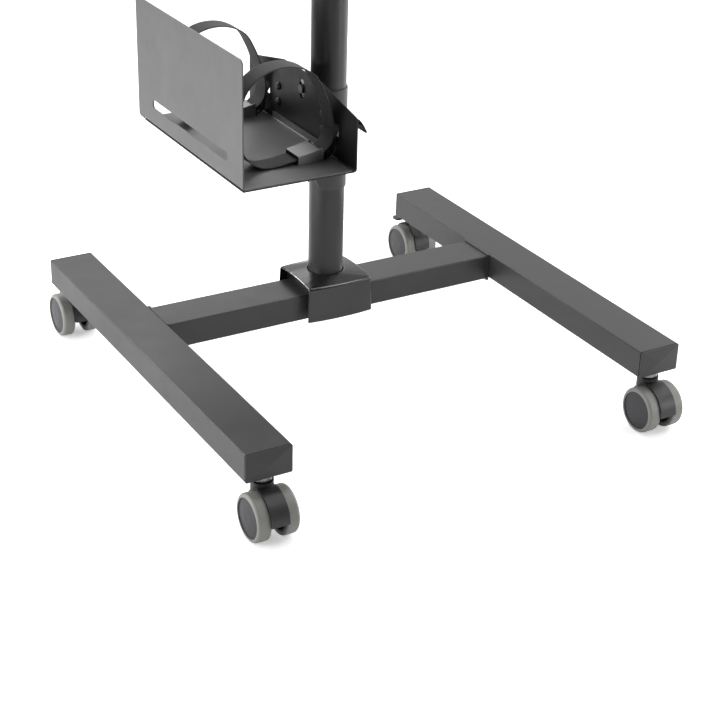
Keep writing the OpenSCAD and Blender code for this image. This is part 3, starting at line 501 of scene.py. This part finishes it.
def cap_shape(width, height, outward):
    """A cap about its rim's middle, with its point towards outward along Y."""
    out = Vector((0, outward, 0))
    bm = bmesh.new()
    bmesh.ops.create_cube(bm, size=1)
    bmesh.ops.scale(bm, verts=bm.verts, vec=(width, CAP_RIM - CAP_GAP, height))
    upright = [e for e in bm.edges
               if abs((e.verts[0].co - e.verts[1].co).normalized().y) > ALIGNED]
    bmesh.ops.bevel(bm, geom=upright, offset=TUBE_CORNER, segments=4, **BEVEL)
    rims = [e for e in bm.edges if any(f.normal.y * outward > ALIGNED for f in e.link_faces)]
    bmesh.ops.bevel(bm, geom=rims, offset=RIM_ROUND, segments=2, **BEVEL)
    front = facing(bm, out)
    bmesh.ops.inset_region(bm, faces=[front], thickness=FACE_FRAME, use_even_offset=True)
    tip = bmesh.ops.poke(bm, faces=[front])["verts"]
    bmesh.ops.translate(bm, verts=tip, vec=out * CAP_POINT)
    rear = facing(bm, -out)
    bmesh.ops.inset_region(bm, faces=[rear], thickness=CAP_STEP, use_even_offset=True)
    neck = bmesh.ops.extrude_discrete_faces(bm, faces=[rear])["faces"][0]
    bmesh.ops.translate(bm, verts=neck.verts, vec=-out * CAP_GAP)
    # The neck's faces take the second slot, the nearly black painted shade.
    for edge in neck.edges:
        for face in edge.link_faces:
            face.material_index = 1
    bmesh.ops.recalc_face_normals(bm, faces=bm.faces)
    return bm


def end_cap(node, tube, outward):
    low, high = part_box(tube)
    end = high.y if outward > 0 else low.y
    middle = (low + high) / 2
    bm = cap_shape(high.x - low.x, high.z - low.z, outward)
    rim_middle = (CAP_GAP + CAP_RIM) / 2
    bmesh.ops.translate(bm, verts=bm.verts,
                        vec=(middle.x, end + outward * rim_middle, middle.z))
    cap = shaped(node + "_moulding", bm)
    cap.data.materials.append(FINISHES["cap_moulded"])
    # The second slot is the neck's painted shade.
    cap.data.materials.append(FINISHES["painted_shade_gap"])
    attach(cap, "base")
    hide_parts(node)
    return cap


for side in ("left", "right"):
    for end_name, outward in CAP_END.items():
        cap = end_cap(f"{end_name}_{side}_cap", side + "_beam", outward)
        print(cap.name, len(cap.data.polygons), "faces")

# %% [markdown]
# The straps are flat webbing, woven with ribs along their length. A strap is one ribbon on a long
# route: sewn round the buckle's bar, up over the load, down the far side, back along the tray,
# through the buckle and out through the wall. The route's points are those of the solid, so the
# ribbon lies where MuJoCo's strap lies. They are in millimetres from the foot of the wall, and a
# curve through all of them fills in the bends.

# %% Route of the webbing
WEB_WIDTH, WEB_THICK = 0.038, 0.0016
WALL_INNER_X, TRAY_TOP = -0.051, 0.4143
STRAP_AT = {"front": -0.106, "rear": 0.129}
ROUTE_MM = [
    (-15.5, 15.8), (-19.5, 12.2), (-22.5, 8.6), (-25.2, 6), (-28.5, 5.3), (-31.4, 8.2),
    (-28.5, 11.1), (-23.5, 13.4), (-16.5, 19), (-9.5, 28), (-6, 44), (-8.5, 66), (-15, 86),
    (-25, 112), (-44, 142), (-79, 158), (-119, 156), (-152, 136), (-170, 101), (-173, 61),
    (-164, 32), (-152, 15.8), (-137, 6), (-121, 2.4), (-99, 3.2), (-80, 6), (-70, 6.2), (-55, 3),
    (-40, 2.8), (-26, 2.8), (-15.5, 4.2), (-9.5, 11), (-6.5, 22), (-4.5, 35), (2, 46.7),
    (13, 56.2), (26, 59.7), (37, 56.7), (45, 47.2), (52, 34.7)]
STEPS = 6


def from_wall(x, z):
    """A point in metres, from millimetres beside the wall and above the tray."""
    return Vector((WALL_INNER_X + x / 1000, 0, TRAY_TOP + z / 1000))


def smooth_route(points, steps):
    """Points of a curve that passes through all the given points."""
    ends = [points[0]] + points + [points[-1]]
    line = []
    for a, b, c, d in zip(ends, ends[1:], ends[2:], ends[3:]):
        for k in range(steps):
            t = k / steps
            line.append(0.5 * (2 * b + (c - a) * t + (2 * a - 5 * b + 4 * c - d) * t * t
                               + (3 * b - a - 3 * c + d) * t ** 3))
    return line + [points[-1]]


route = smooth_route([from_wall(x, z) for x, z in ROUTE_MM], STEPS)
route_length = sum((b - a).length for a, b in zip(route, route[1:]))
print("webbing length:", round(route_length, 3), "m")

# %% [markdown]
# A cut end of webbing frays, so its last centimetre and a half is folded under and sewn down. The
# fold is a tight half circle and a way back along the underside, one thickness away.

# %% Hem of the free end
HEM = 0.015
FOLD_R = 0.0009
FOLD_STEPS = 6


def side_of(line, i):
    """Unit vector square to the route at point i, in the X and Z plane."""
    ahead = line[min(i + 1, len(line) - 1)] - line[max(i - 1, 0)]
    return Vector((-ahead.z, 0, ahead.x)).normalized()


def hemmed(line):
    last = len(line) - 1
    over = side_of(line, last)
    ahead = Vector((over.z, 0, -over.x))
    centre = line[last] - over * FOLD_R
    turns = [math.pi * k / FOLD_STEPS for k in range(1, FOLD_STEPS + 1)]
    fold = [centre + (over * math.cos(a) + ahead * math.sin(a)) * FOLD_R for a in turns]
    way_back, travelled, i = [], 0.0, last
    while travelled < HEM:
        i -= 1
        travelled += (line[i + 1] - line[i]).length
        way_back.append(line[i] - side_of(line, i) * 2 * FOLD_R)
    return line + fold + way_back


sewn_route = hemmed(route)
print("points with the hem:", len(sewn_route))

# %% [markdown]
# Webbing needs a pattern that follows it round every bend, so it gets a UV map in metres: across
# the width, and along the route. Ribs 3 mm apart run along the length, and finer weft threads
# cross them at a slant. Both drive the bump, and both set the colour, which is darker in the
# hollows between ribs: a painted shade. A fine noise stands for loose fibres.

# %% Woven finish
RIB_SCALE, WEFT_SCALE, FIBRE_SCALE = 105.0, 230.0, 900.0
WEFT_SHARE = 0.45
WEAVE_DEPTH = 0.00022


def woven(name, color):
    paint = bpy.data.materials.new(name)
    paint.use_nodes = True
    tree = paint.node_tree
    shader = tree.nodes["Principled BSDF"]
    link = tree.links.new
    where = node_of(tree, "ShaderNodeUVMap", (-1300, 0), uv_map="along")
    ribs = node_of(tree, "ShaderNodeTexWave", (-1000, 150), bands_direction="X",
                   Scale=RIB_SCALE, Distortion=0.4, Detail=1.0, Detail_Scale=2.0)
    weft = node_of(tree, "ShaderNodeTexWave", (-1000, -150), bands_direction="DIAGONAL",
                   Scale=WEFT_SCALE, Distortion=0.6, Detail=1.0)
    fuzz = node_of(tree, "ShaderNodeTexNoise", (-1000, -450), Scale=FIBRE_SCALE, Detail=2.0)
    both = node_of(tree, "ShaderNodeMath", (-750, 0), operation="MULTIPLY_ADD")
    both.inputs[1].default_value = WEFT_SHARE
    bump = node_of(tree, "ShaderNodeBump", (-300, -200), Strength=0.8, Distance=WEAVE_DEPTH)
    # The weave's hollows are painted darker than its rib tops: painted shade.
    tone = node_of(tree, "ShaderNodeMapRange", (-500, 200), From_Min=0.2, From_Max=1.3,
                   To_Min=0.55, To_Max=1.15)
    worn = node_of(tree, "ShaderNodeMapRange", (-500, -450), From_Min=NOISE_LOW,
                   From_Max=NOISE_HIGH, To_Min=0.85, To_Max=1.1)
    mixed = node_of(tree, "ShaderNodeMath", (-300, 250), operation="MULTIPLY")
    tint = node_of(tree, "ShaderNodeVectorMath", (-120, 250), operation="SCALE")
    tint.inputs[0].default_value = color
    link(where.outputs[0], ribs.inputs["Vector"])
    link(where.outputs[0], weft.inputs["Vector"])
    link(where.outputs[0], fuzz.inputs["Vector"])
    link(weft.outputs["Fac"], both.inputs[0])
    link(ribs.outputs["Fac"], both.inputs[2])
    link(both.outputs[0], bump.inputs["Height"])
    link(both.outputs[0], tone.inputs["Value"])
    link(fuzz.outputs[0], worn.inputs["Value"])
    link(tone.outputs[0], mixed.inputs[0])
    link(worn.outputs[0], mixed.inputs[1])
    link(mixed.outputs[0], tint.inputs["Scale"])
    link(tint.outputs[0], shader.inputs["Base Color"])
    link(bump.outputs[0], shader.inputs["Normal"])
    shader.inputs["Roughness"].default_value = 0.68
    shader.inputs["Specular IOR Level"].default_value = 0.3
    shader.inputs["Sheen Weight"].default_value = 0.08
    shader.inputs["Sheen Roughness"].default_value = 0.4
    return paint


webbing_finish = woven("webbing_weave", (0.028, 0.028, 0.029))
print("finish:", webbing_finish.name, len(webbing_finish.node_tree.nodes), "nodes")

# %% [markdown]
# The ribbon is made by extruding a row of edges from point to point, which keeps the width straight
# and the ribbon unbroken. Sweeping a curve could do it too, but a curve may twist where the route
# turns back on itself at the buckle. Each row of points remembers how far along it is, for the
# pattern. Solidify gives the thickness and a small bevel rolls the woven edge.

# %% Webbing ribbon
WEB_COLUMNS = 8
ROLLED_EDGE = 0.0005
SHARP = math.radians(60)


def ribbon_shape(y):
    bm = bmesh.new()
    along = bm.verts.layers.float.new("along")
    row = [bm.verts.new(sewn_route[0] + Vector((0, y + WEB_WIDTH * (k / WEB_COLUMNS - 0.5), 0)))
           for k in range(WEB_COLUMNS + 1)]
    edge_row = [bm.edges.new(pair) for pair in zip(row, row[1:])]
    travelled = 0.0
    for a, b in zip(sewn_route, sewn_route[1:]):
        grown = bmesh.ops.extrude_edge_only(bm, edges=edge_row)["geom"]
        fresh = [v for v in grown if isinstance(v, bmesh.types.BMVert)]
        edge_row = [e for e in grown if isinstance(e, bmesh.types.BMEdge)]
        travelled += (b - a).length
        bmesh.ops.translate(bm, verts=fresh, vec=b - a)
        for v in fresh:
            v[along] = travelled
    uv = bm.loops.layers.uv.new("along")
    for face in bm.faces:
        face.smooth = True
        for loop in face.loops:
            loop[uv].uv = (loop.vert.co.y - y, loop.vert[along])
    return bm


def webbing(name, y, body, node):
    ribbon = shaped(name, ribbon_shape(y))
    ribbon.data.materials.append(webbing_finish)
    wall = ribbon.modifiers.new("thickness", "SOLIDIFY")
    wall.thickness = WEB_THICK
    wall.offset = 0
    rim = ribbon.modifiers.new("rolled_edge", "BEVEL")
    rim.width = ROLLED_EDGE
    rim.segments = 2
    rim.limit_method = "ANGLE"
    rim.angle_limit = SHARP
    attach(ribbon, body)
    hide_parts(node)
    return ribbon


for end, y in STRAP_AT.items():
    ribbon = webbing(end + "_webbing", y, "carriage", end + "_strap")
    print(ribbon.name, len(ribbon.data.polygons), "faces")

# %% [markdown]
# Each strap is sewn twice: where it returns from the buckle's bar, and along the hem. The seams are
# boxes of small stitches. One stitch is a low sphere, stretched and half sunk into the webbing. It
# is copied along four sides of the box, so one small loop makes the whole seam.

# %% Stitches
STITCH, STITCH_GAP, THREAD_R = 0.0022, 0.0009, 0.00035
SEAM_INSET = 0.003
BAR_SEAM = [from_wall(-22.6, 14.2), from_wall(-16.9, 18.6)]
HEM_SEAM = [route[-1], route[-3]]


def stitch(bm, at, along, out):
    across = along.cross(out)
    turn = Matrix((along, across, out)).transposed().to_4x4()
    stretch = Matrix.Diagonal((STITCH / 2, THREAD_R, THREAD_R, 1))
    bmesh.ops.create_uvsphere(bm, u_segments=6, v_segments=4, radius=1,
                              matrix=Matrix.Translation(at) @ turn @ stretch)


def seam_run(bm, start, stop, out):
    run = stop - start
    count = max(1, int(run.length / (STITCH + STITCH_GAP)))
    for k in range(count):
        stitch(bm, start + run * (k + 0.5) / count, run.normalized(), out)


def box_seam(name, ends, y, out, body):
    half = Vector((0, WEB_WIDTH / 2 - SEAM_INSET, 0))
    lift = out * WEB_THICK / 2 + Vector((0, y, 0))
    a, b = ends[0] + lift, ends[1] + lift
    corners = [a - half, a + half, b + half, b - half]
    bm = bmesh.new()
    for start, stop in zip(corners, corners[1:] + corners[:1]):
        seam_run(bm, start, stop, out)
    for face in bm.faces:
        face.smooth = True
    seam = shaped(name, bm)
    seam.data.materials.append(thread_finish)
    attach(seam, body)
    return seam


def out_of(ends):
    """Unit vector square to a seam's two ends, in the X and Z plane."""
    run = (ends[1] - ends[0]).normalized()
    return Vector((-run.z, 0, run.x))


thread_finish = grained("thread", (0.050, 0.050, 0.052), (0.09, 0.09, 0.09), 0.0004, 0.00002,
                        0.45, 0.6)
for end, y in STRAP_AT.items():
    bar_seam = box_seam(end + "_bar_seam", BAR_SEAM, y, out_of(BAR_SEAM), "carriage")
    hem_seam = box_seam(end + "_hem_seam", HEM_SEAM, y, -out_of(HEM_SEAM), "carriage")
    for seam in (bar_seam, hem_seam):
        print(seam.name, len(seam.data.polygons), "faces")
